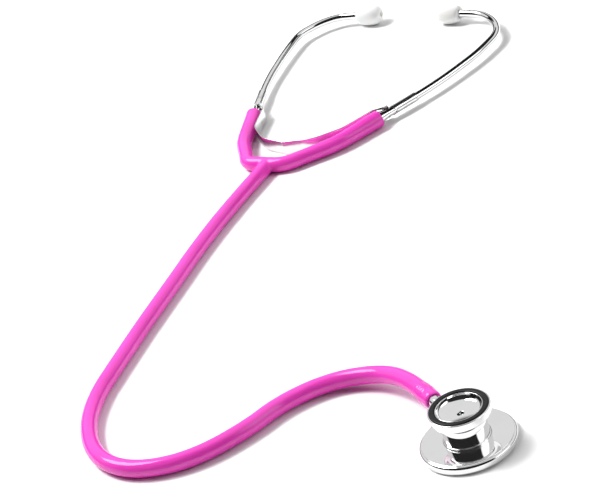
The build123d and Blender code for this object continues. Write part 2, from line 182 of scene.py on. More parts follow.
class Tree:
    """A node tree in which one method adds every node."""

    def __init__(self, nodes):
        self.nodes = nodes

    def node(self, kind, settings=None, sockets=None):
        """Adds a node and returns its first output."""
        made = self.nodes.nodes.new(kind)
        for name, value in (settings or {}).items():
            setattr(made, name, value)
        for name, value in (sockets or {}).items():
            if isinstance(value, Wire):
                self.nodes.links.new(value.socket, made.inputs[name])
            else:
                made.inputs[name].default_value = value
        return Wire(self, next((out for out in made.outputs if out.enabled), None))

    def noise(self, place, scale, detail=2.0, rough=0.5):
        return self.node("ShaderNodeTexNoise", {}, {"Vector": place, "Scale": scale,
                                                    "Detail": detail, "Roughness": rough})

    def fade(self, value, low, high, to_low=0.0, to_high=1.0):
        """Value eased from one pair of limits to another."""
        return self.node("ShaderNodeMapRange", {"interpolation_type": "SMOOTHSTEP"},
                         {0: value, 1: low, 2: high, 3: to_low, 4: to_high})

    def colours(self, share, first, second):
        """Two colours mixed by a share."""
        return self.node("ShaderNodeMix", {"data_type": "RGBA"}, {0: share, 6: first, 7: second})

    def stretched(self, scale, turn=(0, 0, 0)):
        """Object coordinates, stretched and then turned."""
        place = self.node("ShaderNodeTexCoord")["Object"]
        return self.node("ShaderNodeMapping", {}, {"Vector": place, "Rotation": turn,
                                                   "Scale": scale})

    def bump(self, height, distance, strength=1.0):
        return self.node("ShaderNodeBump", {}, {"Height": height, "Distance": distance,
                                                "Strength": strength})


def finish_of(name):
    """The material of that finish, made once by its function, which gives the shader's sockets."""
    material = bpy.data.materials.get(f"{name}_finish")
    if material is None:
        material = bpy.data.materials.new(f"{name}_finish")
        material.use_nodes = True
        material.node_tree.nodes.clear()
        tree = Tree(material.node_tree)
        place = tree.node("ShaderNodeTexCoord")["Object"]
        surface = tree.node("ShaderNodeBsdfPrincipled", {}, FINISHES[name](tree, place, paints()))
        tree.node("ShaderNodeOutputMaterial", {}, {"Surface": surface})
    return material


def shaded(paint, share):
    """A paint darkened to a share of its brightness."""
    return tuple(share * part for part in paint[:3]) + (1,)


def tubing_pvc(tree, place, paint):
    """Glossy soft PVC: faint clouds, a fine dull grain and a few handling marks."""
    clouds = tree.fade(tree.noise(place, 38, 3), 0.32, 0.70)
    grain = tree.noise(place, 1700, 2)
    marks = tree.fade(tree.noise(tree.stretched((90, 90, 260)), 1.0, 4, 0.62), 0.60, 0.78)
    return {
        "Base Color": tree.colours(clouds, tuple(paint.tubing), tuple(paint.tubing_deep)),
        "Roughness": 0.08 + 0.02 * clouds + 0.03 * grain + 0.06 * marks,
        "Normal": tree.bump(grain * 0.6 + marks * 0.4, 0.00003, 0.35),
        "IOR": 1.50,
        "Specular IOR Level": 0.50,
    }


def chrome_plate(tree, place, paint):
    """Bright plate with faint wiping haze and hairlines."""
    haze = tree.fade(tree.noise(place, 55, 3), 0.45, 0.75)
    hair = tree.fade(tree.noise(tree.stretched((260, 900, 3200), (0.4, 0.2, 0.9)), 1.0, 3, 0.7),
                     0.62, 0.74)
    return {
        "Base Color": tree.colours(haze, tuple(paint.chrome), shaded(paint.chrome, 0.97)),
        "Metallic": 1.0,
        "Roughness": 0.035 + 0.030 * haze + 0.035 * hair,
        "Normal": tree.bump(hair, 0.000004, 0.25),
    }


def spring_strip(tree, place, paint):
    """Cold-rolled strip: satin, with the rolling's fine lines and some oil haze."""
    lines = tree.noise(tree.stretched((160, 160, 5200)), 1.0, 3, 0.6)
    oil = tree.fade(tree.noise(place, 120, 3), 0.35, 0.70)
    return {
        "Base Color": tree.colours(oil, tuple(paint.spring), shaded(paint.spring, 0.80)),
        "Metallic": 1.0,
        "Roughness": 0.14 + 0.06 * oil + 0.05 * lines,
        "Normal": tree.bump(lines, 0.00002, 0.3),
    }


def eartip_soft(tree, place, paint):
    """Milky soft plastic with a barely dimpled skin."""
    milk = tree.fade(tree.noise(place, 90, 3), 0.30, 0.72)
    skin = tree.noise(place, 1400, 2)
    warm = (paint.eartip[0], 0.99 * paint.eartip[1], 0.975 * paint.eartip[2], 1)
    return {
        "Base Color": tree.colours(milk, tuple(paint.eartip), warm),
        "Roughness": 0.36 + 0.08 * skin + 0.05 * milk,
        "Normal": tree.bump(skin, 0.00003, 0.3),
        "IOR": 1.43,
        "Subsurface Weight": 0.70,
        "Subsurface Radius": (1.0, 0.90, 0.82),
        "Subsurface Scale": 0.0050,
    }


def rim_rubber(tree, place, paint):
    """Black moulded rubber: satin, with a soft bloom and a pebbled skin."""
    bloom = tree.fade(tree.noise(place, 150, 4, 0.6), 0.42, 0.75)
    pebble = tree.node("ShaderNodeTexVoronoi", {}, {"Vector": place, "Scale": 2600})
    dusty = tuple(part + 0.006 for part in paint.rubber[:3]) + (1,)
    return {
        "Base Color": tree.colours(bloom, tuple(paint.rubber), dusty),
        "Roughness": 0.33 + 0.14 * bloom + 0.05 * pebble,
        "Normal": tree.bump(pebble, 0.00002, 0.4),
        "IOR": 1.52,
        "Specular IOR Level": 0.25,
    }


def diaphragm_film(tree, place, paint):
    """Stiff resin film with the weave of its glass cloth just showing through."""
    warp = tree.node("ShaderNodeTexWave", {"bands_direction": "X"}, {"Vector": place, "Scale": 360})
    weft = tree.node("ShaderNodeTexWave", {"bands_direction": "Y"}, {"Vector": place, "Scale": 360})
    weave = 0.5 * warp["Fac"] + 0.5 * weft["Fac"]
    return {
        "Base Color": tree.colours(weave, shaded(paint.film, 0.93), tuple(paint.film)),
        "Roughness": 0.24 + 0.10 * tree.noise(place, 60, 3) + 0.04 * weave,
        "Normal": tree.bump(weave, 0.00002, 0.3),
        "IOR": 1.55,
        "Coat Weight": 0.3,
    }


def detent_steel(tree, place, paint):
    """Plain hardened steel, ground bright."""
    ground = tree.noise(tree.stretched((900, 900, 5000)), 1.0, 3)
    return {
        "Base Color": tree.colours(ground, (0.50, 0.50, 0.51, 1), (0.60, 0.60, 0.61, 1)),
        "Metallic": 1.0,
        "Roughness": 0.16 + 0.14 * ground,
        "Normal": tree.bump(ground, 0.000006, 0.3),
    }


def floor_paper(tree, place, paint):
    """Matt pale paper, clouded very slightly."""
    clouds = tree.noise(place, 3, 2)
    return {
        "Base Color": tree.colours(clouds, tuple(paint.floor), shaded(paint.floor, 0.99)),
        "Roughness": 0.9,
        "Specular IOR Level": 0.1,
    }


def card_black(tree, place, paint):
    """Dead black card."""
    return {"Base Color": (0.012, 0.012, 0.012, 1), "Roughness": 1.0, "Specular IOR Level": 0.0}


FINISHES = {make.__name__: make for make in (tubing_pvc, chrome_plate, spring_strip, eartip_soft,
                                             rim_rubber, diaphragm_film, detent_steel,
                                             floor_paper, card_black)}


# ---- shapes ----
def sizes():
    return bpy.context.scene.stethoscope_sizes


def paints():
    return bpy.context.scene.stethoscope_colours


def added(name, data):
    """A new object of that mesh, curve, light or camera, in the scene."""
    made = bpy.data.objects.new(name, data)
    bpy.context.scene.collection.objects.link(made)
    return made


def head_point(place, side):
    """A point of the headset's leaning plane: offset from its centreline, distance along it."""
    return HEAD + Vector((side * place[0] * MM, 0, 0)) + LEAN * (place[1] * MM)


def arm_way(side):
    """The arm's root and elbow, its mouth, and the way along its socket and up the ear tube."""
    foot, knee = (head_point(place, side) for place in EAR_TUBE_ROUTE[side][:2])
    way = (knee - foot).normalized()
    mouth = foot + way * (SOCKET_DEPTH * MM)
    return head_point(ARM_ROOT[side], side), mouth - way * (ARM_STRAIGHT[side] * MM), mouth, way


def widest_radii(points, share=0.45):
    """The radius at each inner corner whose bend takes up that share of the shorter run there."""
    radii = []
    for before, corner, after in zip(points, points[1:], points[2:]):
        turn = (corner - before).angle(after - corner)
        shorter = min((corner - before).length, (after - corner).length)
        radii.append(share * shorter / tan(turn / 2))
    return radii


class BentLine:
    """Straight runs joined by arcs in one plane, walked by distance from the first point."""

    def __init__(self, points, radii=(), normal=(0, 0, 1)):
        points = [Vector(point) for point in points]
        self.normal = Vector(normal)
        self.runs, place, self.length = [], points[0], 0.0
        for before, corner, after, radius in zip(points, points[1:], points[2:], radii):
            way, onward = (corner - before).normalized(), (after - corner).normalized()
            turn = way.angle(onward)
            start = corner - way * (radius * tan(turn / 2))
            self.add((start - place).length, place, way)
            self.add(radius * turn, start, way, way.cross(onward).normalized(), radius)
            place = corner + onward * (radius * tan(turn / 2))
        self.add((points[-1] - place).length, place, (points[-1] - points[-2]).normalized())

    def add(self, reach, start, way, axis=None, radius=0.0):
        self.runs.append((self.length, start, way, axis, radius))
        self.length += reach

    def at(self, distance):
        """The point there and the line's direction; both ends run on straight."""
        run = max((run for run in self.runs if run[0] <= distance), default=self.runs[0])
        begin, start, way, axis, radius = run
        if axis is None:
            return start + way * (distance - begin), way
        centre = start + axis.cross(way) * radius
        turned = Matrix.Rotation((distance - begin) / radius, 3, axis)
        return centre + turned @ (start - centre), turned @ way

    def points(self, step):
        count = max(2, round(self.length / step))
        return [self.at(self.length * number / count)[0] for number in range(count + 1)]


def outline_of(*parts):
    """Points (distance, radius) in millimetres. A part of four numbers is an arc from the last
    point through its first pair to its second."""
    outline = [parts[0]]
    for part in parts[1:]:
        if len(part) == 2:
            outline.append(part)
            continue
        a, b, c = (Vector(pair) for pair in (outline[-1], part[:2], part[2:]))
        spread = 2 * (b - a).cross(c - a)
        to_b, to_c = (b - a).length_squared, (c - a).length_squared
        middle = a + Vector((to_b * (c.y - a.y) - to_c * (b.y - a.y),
                             to_c * (b.x - a.x) - to_b * (c.x - a.x))) / spread
        first = (a - middle).angle_signed(b - middle) + (b - middle).angle_signed(c - middle)
        steps = max(3, round(abs(first) / radians(9)))
        for number in range(1, steps + 1):
            outline.append(tuple(middle + Matrix.Rotation(-first * number / steps, 2)
                                 @ (a - middle)))
    return outline


def eased(points, steps=8):
    """A smooth run of points through the ones given, the first and last included."""
    ends = [2 * np.array(points[0]) - points[1], *map(np.array, points),
            2 * np.array(points[-1]) - points[-2]]
    run = []
    for a, b, c, d in zip(ends, ends[1:], ends[2:], ends[3:]):
        for t in np.arange(steps) / steps:
            run.append(tuple(0.5 * (2 * b + (c - a) * t + (2 * a - 5 * b + 4 * c - d) * t ** 2
                                    + (3 * b - a - 3 * c + d) * t ** 3)))
    return run + [tuple(points[-1])]


def new_piece(name, mesh_maker, finish, sharp=SHARP_ANGLE):
    """An object from a bmesh maker, closed, facing outwards, smooth but for its sharp edges."""
    mesh = bpy.data.meshes.new(name)
    work = bmesh.new()
    mesh_maker(work)
    bmesh.ops.remove_doubles(work, verts=work.verts, dist=WELD)
    bmesh.ops.recalc_face_normals(work, faces=work.faces)
    work.to_mesh(mesh)
    work.free()
    piece = added(name, mesh)
    mesh.materials.append(finish_of(finish))
    mesh.shade_smooth()
    mesh.set_sharp_from_angle(angle=radians(sharp))
    return piece


def turned(name, outline, line, finish, rings=72, step=1.0, closed=True):
    """A piece turned round a line that may bend. The outline's distances and radii are in
    millimetres; closed joins its last point to its first, and open ends stand on the line."""
    points = [outline[0]]
    bent = len(line.runs) > 1
    for before, after in zip(outline, outline[1:] + (outline[:1] if closed else [])):
        parts = max(1, round(abs(after[0] - before[0]) / step)) if bent else 1
        points += [(before[0] + (after[0] - before[0]) * part / parts,
                    before[1] + (after[1] - before[1]) * part / parts)
                   for part in range(1, parts + 1)]
    if closed:
        points.pop()

    def make(work):
        loops = []
        for distance, radius in points:
            place, way = line.at(distance * MM)
            if radius < 1e-6:
                loops.append([work.verts.new(place)] * rings)
                continue
            up = (line.normal - way * line.normal.dot(way)).normalized()
            across = way.cross(up)
            loops.append([work.verts.new(place + (across * cos(turn) + up * sin(turn)) * radius * MM)
                          for turn in (2 * pi * ring / rings for ring in range(rings))])
        skin(work, loops, closed)

    return new_piece(name, make, finish)


def skin(work, loops, closed=False):
    """Faces between successive closed loops of vertices; a loop may be one repeated vertex."""
    pairs = zip(loops, loops[1:] + (loops[:1] if closed else []))
    for before, after in pairs:
        count = len(before)
        for number in range(count):
            corners = [before[number], before[(number + 1) % count],
                       after[(number + 1) % count], after[number]]
            corners = [corner for place, corner in enumerate(corners)
                       if corner not in corners[:place]]
            if len(corners) > 2:
                work.faces.new(corners)


def cut(piece, *bores):
    """Bores straight holes in a piece: each is (start, end, radius)."""
    for start, end, radius in bores:
        reach = (end - start).length / MM
        drill = turned("drill", [(0, 0), (0, radius), (reach, radius), (reach, 0)],
                       BentLine([start, end], normal=(0.3, 0.2, 0.933)), "chrome_plate",
                       rings=48, closed=False)
        rule = piece.modifiers.new("Bore", "BOOLEAN")
        rule.operation, rule.solver, rule.object = "DIFFERENCE", "EXACT", drill
        bake(piece)
        bpy.data.objects.remove(drill)
    piece.data.set_sharp_from_angle(angle=radians(SHARP_ANGLE))


def bake(piece):
    """Turns what a piece's modifiers make into its plain mesh."""
    graph = bpy.context.evaluated_depsgraph_get()
    mesh = bpy.data.meshes.new_from_object(piece.evaluated_get(graph))
    if not len(mesh.polygons):
        raise RuntimeError(f"{piece.name} came out empty")
    piece.modifiers.clear()
    piece.data = mesh
    mesh.name = piece.name


# ---- the swept stock: strip and tube that follow a filleted route ----
def stock_tree(kind):
    """Geometry nodes that run a strip or a round tube along the piece's own edges, rounding each
    corner by the radius stored at it."""
    group = bpy.data.node_groups.new(f"{kind} stock", "GeometryNodeTree")
    face = group.interface
    face.new_socket(name="Geometry", in_out="OUTPUT", socket_type="NodeSocketGeometry")
    face.new_socket(name="Geometry", in_out="INPUT", socket_type="NodeSocketGeometry")
    names = {"strip": ("Thickness", "Height", "Edge Radius"),
             "tube": ("Radius", "Foot Radius", "Foot Length", "Taper Length")}[kind]
    for name in names:
        face.new_socket(name=name, in_out="INPUT", socket_type="NodeSocketFloat")
    face.new_socket(name="Finish", in_out="INPUT", socket_type="NodeSocketMaterial")
    tree = Tree(group)
    given = tree.node("NodeGroupInput")
    curve = tree.node("GeometryNodeMeshToCurve", {}, {"Mesh": given["Geometry"]})
    corner = tree.node("GeometryNodeInputNamedAttribute", {"data_type": "FLOAT"},
                       {"Name": "corner_radius"})
    curve = tree.node("GeometryNodeFilletCurve", {"mode": "POLY"},
                      {"Curve": curve, "Count": 14, "Radius": corner})
    curve = tree.node("GeometryNodeSetCurveNormal", {"mode": "Z_UP"}, {"Curve": curve})
    if kind == "strip":
        section = tree.node("GeometryNodeCurvePrimitiveQuadrilateral", {"mode": "RECTANGLE"},
                            {"Width": given["Thickness"], "Height": given["Height"]})
        section = tree.node("GeometryNodeFilletCurve", {"mode": "POLY"},
                            {"Curve": section, "Count": 4, "Radius": given["Edge Radius"]})
        scale, caps = 1.0, True
    else:
        section = tree.node("GeometryNodeCurvePrimitiveCircle", {"mode": "RADIUS"},
                            {"Resolution": 64, "Radius": 1.0})
        curve = tree.node("GeometryNodeResampleCurve", {"mode": "LENGTH"},
                          {"Curve": curve, "Length": 0.0008})
        along = tree.node("GeometryNodeSplineParameter")["Length"]
        scale = tree.fade(along, given["Foot Length"], given["Foot Length"] + given["Taper Length"],
                          given["Foot Radius"], given["Radius"])
        caps = False
    mesh = tree.node("GeometryNodeCurveToMesh", {}, {"Curve": curve, "Profile Curve": section,
                                                     "Scale": scale, "Fill Caps": caps})
    mesh = tree.node("GeometryNodeRealizeInstances", {}, {"Geometry": mesh})
    mesh = tree.node("GeometryNodeSetMaterial", {}, {"Geometry": mesh, "Material": given["Finish"]})
    tree.node("NodeGroupOutput", {}, {"Geometry": mesh})
    return group


def from_stock(name, kind, route, radii, finish, wall=0.0, **inputs):
    """A piece of strip or tube along a route, with a radius at each inner corner."""
    group = bpy.data.node_groups.get(f"{kind} stock") or stock_tree(kind)
    mesh = bpy.data.meshes.new(name)
    mesh.from_pydata([tuple(point) for point in route],
                     [(number, number + 1) for number in range(len(route) - 1)], [])
    corner = mesh.attributes.new("corner_radius", "FLOAT", "POINT")
    corner.data.foreach_set("value", [0.0, *radii, 0.0])
    piece = added(name, mesh)
    rule = piece.modifiers.new("Stock", "NODES")
    rule.node_group = group
    inputs["Finish"] = finish_of(finish)
    for item in group.interface.items_tree:
        if item.in_out == "INPUT" and item.name in inputs:
            rule[item.identifier] = inputs[item.name]
    bake(piece)
    if wall:
        rule = piece.modifiers.new("Wall", "SOLIDIFY")
        rule.thickness, rule.offset, rule.use_rim = wall, -1.0, True
        bake(piece)
    work = bmesh.new()
    work.from_mesh(piece.data)
    bmesh.ops.remove_doubles(work, verts=work.verts, dist=WELD)
    bmesh.ops.recalc_face_normals(work, faces=work.faces)
    work.to_mesh(piece.data)
    work.free()
    for layer in [found for found in piece.data.attributes if found.name == "corner_radius"]:
        piece.data.attributes.remove(layer)
    piece.data.shade_smooth()
    piece.data.set_sharp_from_angle(angle=radians(STOCK_SHARP_ANGLE))
    return piece


# ---- the operators ----
class STETHOSCOPE_OT_stage(Operator):
    """Sets up the camera, the pale floor and the soft studio light"""
    bl_idname = "stethoscope.stage"
    bl_label = "Stage"

    def execute(self, context):
        place, aim = Vector((0.5267, -0.6903, 0.5949)), Vector((-0.1946, 0.1571, 0.0))
        roll = radians(18.623)
        forward = (aim - place).normalized()
        level = forward.cross(Vector((0, 0, 1))).normalized()
        steep = level.cross(forward)
        right, up = level * cos(roll) - steep * sin(roll), level * sin(roll) + steep * cos(roll)
        lens = bpy.data.cameras.new("studio camera")
        lens.lens, lens.sensor_width, lens.clip_end = 131.8, 36.0, 50.0
        camera = added("studio camera", lens)
        camera.matrix_world = (Matrix.Translation(place)
                               @ Matrix((right, up, -forward)).transposed().to_4x4())
        context.scene.camera = camera
        context.scene.view_settings.view_transform = "Standard"
        # The floor is a hair lower than the pieces that lie on it, so no two faces coincide.
        self.sheet("floor", [(-6, -6), (6, -6), (6, 6), (-6, 6)], -0.0001, "floor_paper")
        self.light()
        # A black card over the headset, which is seen only where something mirrors it.
        corners = [(-0.45, 0.42), (-0.39, 0.39), (-0.39, 0.44), (-0.25, 0.46), (-0.26, 0.27),
                   (-0.16, 0.27), (-0.14, 0.44), (-0.22, 0.49), (-0.45, 0.49)]
        card = self.sheet("black_card", corners, 0.06, "card_black")
        card.visible_camera = card.visible_diffuse = card.visible_shadow = False
        self.surround(context)
        return {"FINISHED"}

    def sheet(self, name, corners, height, finish):
        """A level sheet that belongs to the stage, with its corners in order."""
        mesh = bpy.data.meshes.new(name)
        mesh.from_pydata([(x, y, height) for x, y in corners], [], [tuple(range(len(corners)))])
        mesh.materials.append(finish_of(finish))
        flat = added(name, mesh)
        return flat

    def light(self):
        """The key light, high on the left. What polished pieces mirror of it is the tent's glow."""
        lamp = bpy.data.lights.new("key softbox", "AREA")
        lamp.shape, lamp.size, lamp.energy = "SQUARE", 0.40, 21.0
        light = added("key softbox", lamp)
        light.location = (-1.25, 0.10, 1.45)
        aim = Vector((-0.16, 0.19, 0)) - light.location
        light.rotation_euler = aim.to_track_quat("-Z", "Y").to_euler()
        light.visible_glossy = False

    def surround(self, context):
        """A tent: pale beyond the stethoscope, dark low down and on the side it opens to, with
        one white panel on the right and the key light's glow high on the left. The camera sees
        even pale walls in its place."""
        world = bpy.data.worlds.new("studio tent")
        context.scene.world = world
        world.use_nodes = True
        world.node_tree.nodes.clear()
        tree = Tree(world.node_tree)
        way = tree.node("ShaderNodeTexCoord")["Generated"]
        height = tree.node("ShaderNodeSeparateXYZ", {}, {"Vector": way})["Z"]

        def towards(x, y, z):
            aim = tuple(Vector((x, y, z)).normalized())
            return tree.node("ShaderNodeVectorMath", {"operation": "DOT_PRODUCT"},
                             {0: way, 1: aim})["Value"]

        dark, pale, panel_white, glow_white = 0.03, 0.84, 1.1, 7.5
        low = tree.fade(height, 0.20, 0.34, dark, 1.0)
        opening = tree.fade(towards(0.146, -0.989, 0.35), 0.26, 0.40, 1.0, dark)
        panel = tree.fade(towards(0.87, 0.24, 0.43), 0.91, 0.94, 0.0, panel_white)
        glow = tree.fade(towards(-0.60, 0.0, 0.80), 0.955, 0.963, 0.0, glow_white)
        tent = low * (opening * pale + panel + glow)
        seen = tree.node("ShaderNodeLightPath")["Is Camera Ray"]
        walls = tree.node("ShaderNodeBackground", {}, {"Color": (1, 1, 1, 1), "Strength": tent})
        plain = tree.node("ShaderNodeBackground", {}, {"Color": (0.93, 0.94, 0.95, 1),
                                                       "Strength": 0.95})
        both = tree.node("ShaderNodeMixShader", {}, {0: seen, 1: walls, 2: plain})
        tree.node("ShaderNodeOutputWorld", {}, {"Surface": both})


class STETHOSCOPE_OT_main_tube(Operator):
    """Lays the soft tube from the yoke to the chestpiece"""
    bl_idname = "stethoscope.main_tube"
    bl_label = "Main Tube"

    def execute(self, context):
        curve = bpy.data.curves.new("tube_run", "CURVE")
        curve.dimensions, curve.resolution_u = "3D", 24
        curve.bevel_depth, curve.bevel_resolution = sizes().tube_radius, 14
        curve.use_fill_caps = True
        spline = curve.splines.new("NURBS")
        spline.points.add(len(TUBE_ROUTE) - 1)
        for point, place in zip(spline.points, TUBE_ROUTE):
            point.co = (*place, 1.0)
        spline.order_u = 3
        spline.use_endpoint_u = True
        curve.materials.append(finish_of("tubing_pvc"))
        tube = added("tube_run", curve)
        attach(tube, "tubing")
        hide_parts("main_tube")
        return {"FINISHED"}


class STETHOSCOPE_OT_arms(Operator):
    """Moulds the yoke and its two arms"""
    bl_idname = "stethoscope.arms"
    bl_label = "Yoke and Arms"

    def execute(self, context):
        self.yoke()
        radius, mouth_radius = sizes().tube_radius / MM, sizes().arm_mouth_radius / MM
        bore, socket = sizes().bore_radius / MM, sizes().ferrule_radius / MM + CLEARANCE
        for side, word in SIDES:
            root, elbow, mouth, way = arm_way(side)
            line = BentLine([root, elbow, mouth], [ELBOW_RADIUS], HEAD_NORMAL)
            end = line.length / MM
            foot = end - SOCKET_DEPTH - 1  # where the socket ends, a millimetre past the ear tube
            outline = outline_of(
                (0, bore), (0, radius), (end - 0.9, mouth_radius),
                (end - 0.25, mouth_radius - 0.24, end, mouth_radius - 0.85),
                (end, socket + 0.45), (end - 0.12, socket + 0.12, end - 0.5, socket),
                (foot, socket), (foot, bore))
            arm = turned(f"arm_{word}_sleeve", outline, line, "tubing_pvc", rings=80)
            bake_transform(arm, "tubing", f"binaural_{word}", head_point(FLEX_START, side),
                     head_point(FLEX_END, side))
            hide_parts(f"arm_{word}")
        return {"FINISHED"}

    def yoke(self):
        """The foot and the cross tube as one moulding, with a small web round the joint."""
        radius, web, voxel, passes, nudge = sizes().tube_radius, 3.5 * MM, 0.45 * MM, 8, 2e-6
        crotch = {}
        for side, word in SIDES:
            root, elbow = arm_way(side)[:2]
            slope = (elbow - root) / (elbow.y - root.y)
            crotch[side] = root - slope * (root.y - head_point((0, CROTCH), side).y)
        route = [arm_way(-1)[0], crotch[-1], crotch[1], arm_way(1)[0]]
        cross = BentLine(route, widest_radii(route), HEAD_NORMAL)
        foot_way = (HEAD - Vector(TUBE_ROUTE[1])).normalized()
        stub = BentLine([HEAD, HEAD + foot_way * CROTCH * MM], normal=HEAD_NORMAL)
        spines = [np.array(line.points(0.6 * MM)) for line in (cross, stub)]

        def nearest(spots, spine):
            """Distances to a spine's runs, and the unit directions away from it."""
            best, away = np.full(len(spots), 1.0), np.zeros((len(spots), 3))
            for start, end in zip(spine, spine[1:]):
                run = end - start
                share = np.clip((spots - start) @ run / (run @ run), 0, 1)
                offset = spots - start - share[:, None] * run
                reach = np.linalg.norm(offset, axis=1)
                closer = reach < best
                best[closer], away[closer] = reach[closer], offset[closer]
            return best, away / np.maximum(best, 1e-9)[:, None]

        def depth(spots):
            """Signed distance to the moulding, its web widest right between the two tubes."""
            (one, to_one), (two, to_two) = (nearest(spots, spine) for spine in spines)
            soft = np.maximum(web * (1 - (to_one * to_two).sum(1)) / 2, 1e-7)
            share = np.clip(0.5 + 0.5 * (two - one) / soft, 0, 1)
            return two + (one - two) * share - soft * share * (1 - share) - radius

        def make(work):
            for spine in spines:
                for number in range(0, len(spine), 2):
                    bmesh.ops.create_uvsphere(work, u_segments=24, v_segments=12, radius=radius,
                                              matrix=Matrix.Translation(spine[number]))

        yoke = new_piece("yoke_moulding", make, "tubing_pvc")
        rule = yoke.modifiers.new("Even", "REMESH")
        rule.mode, rule.voxel_size = "VOXEL", voxel
        bake(yoke)
        spots = np.array([vertex.co for vertex in yoke.data.vertices], float)
        for _ in range(passes):
            here = depth(spots)
            slope = np.stack([(depth(spots + step) - depth(spots - step)) / (2 * nudge)
                              for step in np.eye(3) * nudge], axis=1)
            slope /= np.maximum(np.linalg.norm(slope, axis=1), 1e-6)[:, None]
            spots -= here[:, None] * slope
        spots[:, 2] = np.maximum(spots[:, 2], 0.0)
        yoke.data.vertices.foreach_set("co", spots.astype(np.float32).ravel())
        yoke.data.update()
        yoke.data.shade_smooth()
        yoke.data.materials.clear()
        yoke.data.materials.append(finish_of("tubing_pvc"))
        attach(yoke, "tubing")
        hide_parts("yoke")


class STETHOSCOPE_OT_spring(Operator):
    """Forms the leaf spring's two halves and its rolled ends"""
    bl_idname = "stethoscope.spring"
    bl_label = "Leaf Spring"

    def execute(self, context):
        thick, high = sizes().strip_thickness, sizes().strip_height
        for side, word in SIDES:
            mouth, way = arm_way(side)[2:]
            inner = way.cross(Vector((0, 0, 1))).normalized() * -side
            roll = sizes().sleeve_radius - thick / 2
            # Past the arm's mouth the strip closes in on the ear tube and runs on beside it.
            beside = ((0.2, 6.8 * MM), (7.0, roll), (9.5, roll))
            route = [head_point(place, side) for place in STRIP_ROUTE]
            route += [mouth + way * along * MM + inner * aside for along, aside in beside]
            route = [Vector((point.x, point.y, STRIP_LEVEL)) for point in route]
            half = from_stock(f"spring_half_{word}", "strip", route, STRIP_BENDS,
                              "spring_strip", Thickness=thick, Height=high,
                              **{"Edge Radius": 0.28 * MM})
            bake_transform(half, "tubing", f"binaural_{word}", head_point(FLEX_START, side),
                     head_point(FLEX_END, side))
            if side > 0:
                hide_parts("leaf_spring")
            self.rolled_end(word, mouth, way, inner, roll)
        return {"FINISHED"}

    def rolled_end(self, word, mouth, way, inner, roll):
        """The strip's wide end, wrapped round the ear tube from its inner side."""
        wall, half_height = 0.6 * MM, sizes().strip_height / 2
        # Along the sleeve, in millimetres: the strip starts to curl just before it, is wrapped
        # round after its first few, and has its corners rounded off at the far end.
        curl_start, curl_length, wrap_length, corner_start, corner_length = -1.8, 1.4, 3.4, 18.8, 1.2
        closed_share, corner_cut, least_curl = 0.955, 0.05, 0.02
        upward = inner.cross(way)
        upward *= 1 if upward.z > 0 else -1
        stations = [-1.6, -1.2, -0.8, -0.4, 0.0, 0.5, 1.0, 1.6, 2.2, 2.8, 3.4, 4.0, 6.0, 10.0,
                    14.0, 18.0, 19.2, 19.75, SLEEVE_LENGTH]

        def make(work):
            loops = []
            for station in stations:
                curled = min(1.0, max(0.0, (station - curl_start) / curl_length))
                wrapped = min(1.0, max(0.0, station / wrap_length))
                wrapped *= wrapped * (3 - 2 * wrapped)
                reach = half_height + (closed_share * pi * roll - half_height) * wrapped
                reach *= 1 - corner_cut * max(0.0, (station - corner_start) / corner_length) ** 2
                bend = max(curled, least_curl) / roll
                place = mouth + way * (SLEEVE_START + station) * MM
                place.z += (STRIP_LEVEL - place.z) * (1 - curled)
                loop = []
                for offset, order in ((wall / 2, 1), (-wall / 2, -1)):
                    for step in np.linspace(-1, 1, 41)[::order]:
                        turn = step * reach * bend
                        out = inner * cos(turn) + upward * sin(turn)
                        spot = (place + inner * (roll - (1 - cos(turn)) / bend)
                                + upward * (sin(turn) / bend) + out * offset)
                        loop.append(work.verts.new(spot))
                loops.append(loop)
            skin(work, loops)
            work.faces.new(loops[0])
            work.faces.new(loops[-1])

        sleeve = new_piece(f"rolled_end_{word}", make, "spring_strip", sharp=STOCK_SHARP_ANGLE)
        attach(sleeve, f"binaural_{word}")
        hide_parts(f"spring_sleeve_{word}")


class STETHOSCOPE_OT_ear_tubes(Operator):
    """Bends the two steel ear tubes"""
    bl_idname = "stethoscope.ear_tubes"
    bl_label = "Ear Tubes"

    def execute(self, context):
        own = sizes()
        for side, word in SIDES:
            route = [head_point(place, side) for place in EAR_TUBE_ROUTE[side]]
            tube = from_stock(f"ear_pipe_{word}", "tube", route, widest_radii(route), "chrome_plate",
                              wall=own.ear_tube_wall, Radius=own.ear_tube_radius,
                              **{"Foot Radius": own.ferrule_radius,
                                 "Foot Length": (SOCKET_DEPTH + 0.5) * MM,
                                 "Taper Length": 7.5 * MM})
            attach(tube, f"binaural_{word}")
            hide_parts(f"ear_tube_{word}")
        return {"FINISHED"}


class STETHOSCOPE_OT_ear_tips(Operator):
    """Moulds the two soft ear tips"""
    bl_idname = "stethoscope.ear_tips"
    bl_label = "Ear Tips"

    def execute(self, context):
        grip, depth, hole = sizes().ear_tube_radius / MM + CLEARANCE, 10.5, 1.8
        for side, word in SIDES:
            bend, tip = (head_point(place, side) for place in EAR_TUBE_ROUTE[side][-2:])
            way = (tip - bend).normalized()
            base = tip - way * depth * MM
            flank = eased([(0.15, 4.2), (0.8, 5.0), (2.4, 5.75), (4.6, 6.35), (7.4, 6.82),
                           (10.5, 6.99), (13.2, 6.72), (15.4, 5.9), (17.0, 4.6),
                           (17.8, 3.1)], 6)
            outline = [(0, grip + 0.25), (0, 3.55), (0.06, 3.78), *flank, (18.0, 2.35),
                       (17.95, 2.02), (17.6, 1.84), (depth + 0.5, hole), (depth + 0.5, grip),
                       (0.25, grip)]
            olive = turned(f"ear_olive_{word}", outline, BentLine([base, tip], normal=HEAD_NORMAL),
                           "eartip_soft", rings=80)
            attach(olive, f"tip_{word}")
            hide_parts(f"eartip_{word}")
        return {"FINISHED"}


